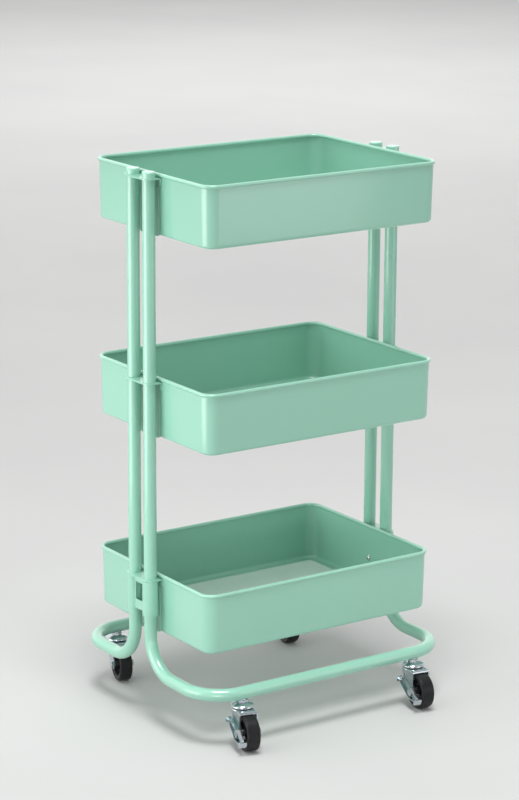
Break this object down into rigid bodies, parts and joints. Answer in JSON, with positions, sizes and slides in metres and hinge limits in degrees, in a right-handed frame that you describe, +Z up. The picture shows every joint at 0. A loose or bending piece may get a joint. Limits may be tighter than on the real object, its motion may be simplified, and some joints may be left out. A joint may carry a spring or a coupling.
{
  "type": "rolling utility cart",
  "caption": "Three-tier rolling utility cart: rimmed sheet-metal trays between paired posts, on bent tube feet with swivel casters.",
  "frame": {"origin": "on the floor under the middle of the rectangle of the four caster stems, which is also the middle of the trays", "axes": "+X along the trays' long side to the right-hand pair of posts, +Y across from the front to the rear, +Z up"},
  "size_m": [0.4306, 0.3961, 0.78],
  "materials": {
    "mint_powder_coat": "semi-gloss mint green powder coat",
    "mint_plastic": "satin mint green moulding",
    "zinc_plate": "bright blue-white zinc plating",
    "black_plastic": "black moulding",
    "black_tyre": "smooth black tread"
  },
  "bodies": {
    "frame": {"tray_top": "mint_powder_coat", "tray_middle": "mint_powder_coat", "tray_bottom": "mint_powder_coat", "bracket_top_left": "mint_powder_coat", "bracket_top_right": "mint_powder_coat", "bracket_middle_left": "mint_powder_coat", "bracket_middle_right": "mint_powder_coat", "bracket_bottom_left": "mint_powder_coat", "bracket_bottom_right": "mint_powder_coat", "post_left_front": "mint_powder_coat", "post_right_front": "mint_powder_coat", "post_left_rear": "mint_powder_coat", "post_right_rear": "mint_powder_coat", "cap_left_front": "mint_plastic", "cap_right_front": "mint_plastic", "cap_left_rear": "mint_plastic", "cap_right_rear": "mint_plastic", "base_tube_front": "mint_powder_coat", "base_tube_rear": "mint_powder_coat", "tray_screws": "zinc_plate", "tray_weld_nuts": "zinc_plate", "stem_inserts": "zinc_plate", "caster_stem_left_front": "zinc_plate", "caster_lock_nut_left_front": "zinc_plate", "caster_balls_left_front": "zinc_plate", "caster_stem_right_front": "zinc_plate", "caster_lock_nut_right_front": "zinc_plate", "caster_balls_right_front": "zinc_plate", "caster_stem_left_rear": "zinc_plate", "caster_lock_nut_left_rear": "zinc_plate", "caster_balls_left_rear": "zinc_plate", "caster_stem_right_rear": "zinc_plate", "caster_lock_nut_right_rear": "zinc_plate", "caster_balls_right_rear": "zinc_plate"},
    "fork_left_front": {"caster_fork_left_front": "zinc_plate", "axle_bolt_left_front": "zinc_plate", "axle_nut_left_front": "zinc_plate"},
    "wheel_left_front": {"wheel_hub_left_front": "black_plastic", "wheel_tyre_left_front": "black_tyre"},
    "brake_left_front": {"brake_lever_left_front": "zinc_plate"},
    "fork_right_front": {"caster_fork_right_front": "zinc_plate", "axle_bolt_right_front": "zinc_plate", "axle_nut_right_front": "zinc_plate"},
    "wheel_right_front": {"wheel_hub_right_front": "black_plastic", "wheel_tyre_right_front": "black_tyre"},
    "brake_right_front": {"brake_lever_right_front": "zinc_plate"},
    "fork_left_rear": {"caster_fork_left_rear": "zinc_plate", "axle_bolt_left_rear": "zinc_plate", "axle_nut_left_rear": "zinc_plate"},
    "wheel_left_rear": {"wheel_hub_left_rear": "black_plastic", "wheel_tyre_left_rear": "black_tyre"},
    "fork_right_rear": {"caster_fork_right_rear": "zinc_plate", "axle_bolt_right_rear": "zinc_plate", "axle_nut_right_rear": "zinc_plate"},
    "wheel_right_rear": {"wheel_hub_right_rear": "black_plastic", "wheel_tyre_right_rear": "black_tyre"}
  },
  "joints": [
    {"name": "swivel_left_front", "type": "hinge", "parent": "frame", "child": "fork_left_front", "pos_m": [-0.14694, -0.1652, 0.0549], "axis": [0, 0, 1], "continuous": true},
    {"name": "roll_left_front", "type": "hinge", "parent": "fork_left_front", "child": "wheel_left_front", "pos_m": [-0.15254, -0.18854, 0.025], "axis": [0.9724, -0.2334, 0], "continuous": true},
    {"name": "brake_left_front", "type": "hinge", "parent": "fork_left_front", "child": "brake_left_front", "pos_m": [-0.15254, -0.18854, 0.025], "axis": [0.9724, -0.2334, 0], "range_deg": [-25, 0]},
    {"name": "swivel_right_front", "type": "hinge", "parent": "frame", "child": "fork_right_front", "pos_m": [0.14694, -0.1652, 0.0549], "axis": [0, 0, 1], "continuous": true},
    {"name": "roll_right_front", "type": "hinge", "parent": "fork_right_front", "child": "wheel_right_front", "pos_m": [0.14339, -0.18894, 0.025], "axis": [0.989, -0.1478, 0], "continuous": true},
    {"name": "brake_right_front", "type": "hinge", "parent": "fork_right_front", "child": "brake_right_front", "pos_m": [0.14339, -0.18894, 0.025], "axis": [0.989, -0.1478, 0], "range_deg": [-25, 0]},
    {"name": "swivel_left_rear", "type": "hinge", "parent": "frame", "child": "fork_left_rear", "pos_m": [-0.14694, 0.1652, 0.0549], "axis": [0, 0, 1], "continuous": true},
    {"name": "roll_left_rear", "type": "hinge", "parent": "fork_left_rear", "child": "wheel_left_rear", "pos_m": [-0.15275, 0.14191, 0.025], "axis": [0.9703, -0.2419, 0], "continuous": true},
    {"name": "swivel_right_rear", "type": "hinge", "parent": "frame", "child": "fork_right_rear", "pos_m": [0.14694, 0.1652, 0.0549], "axis": [0, 0, 1], "continuous": true},
    {"name": "roll_right_rear", "type": "hinge", "parent": "fork_right_rear", "child": "wheel_right_rear", "pos_m": [0.14319, 0.1415, 0.025], "axis": [0.9877, -0.1564, 0], "continuous": true}
  ]
}
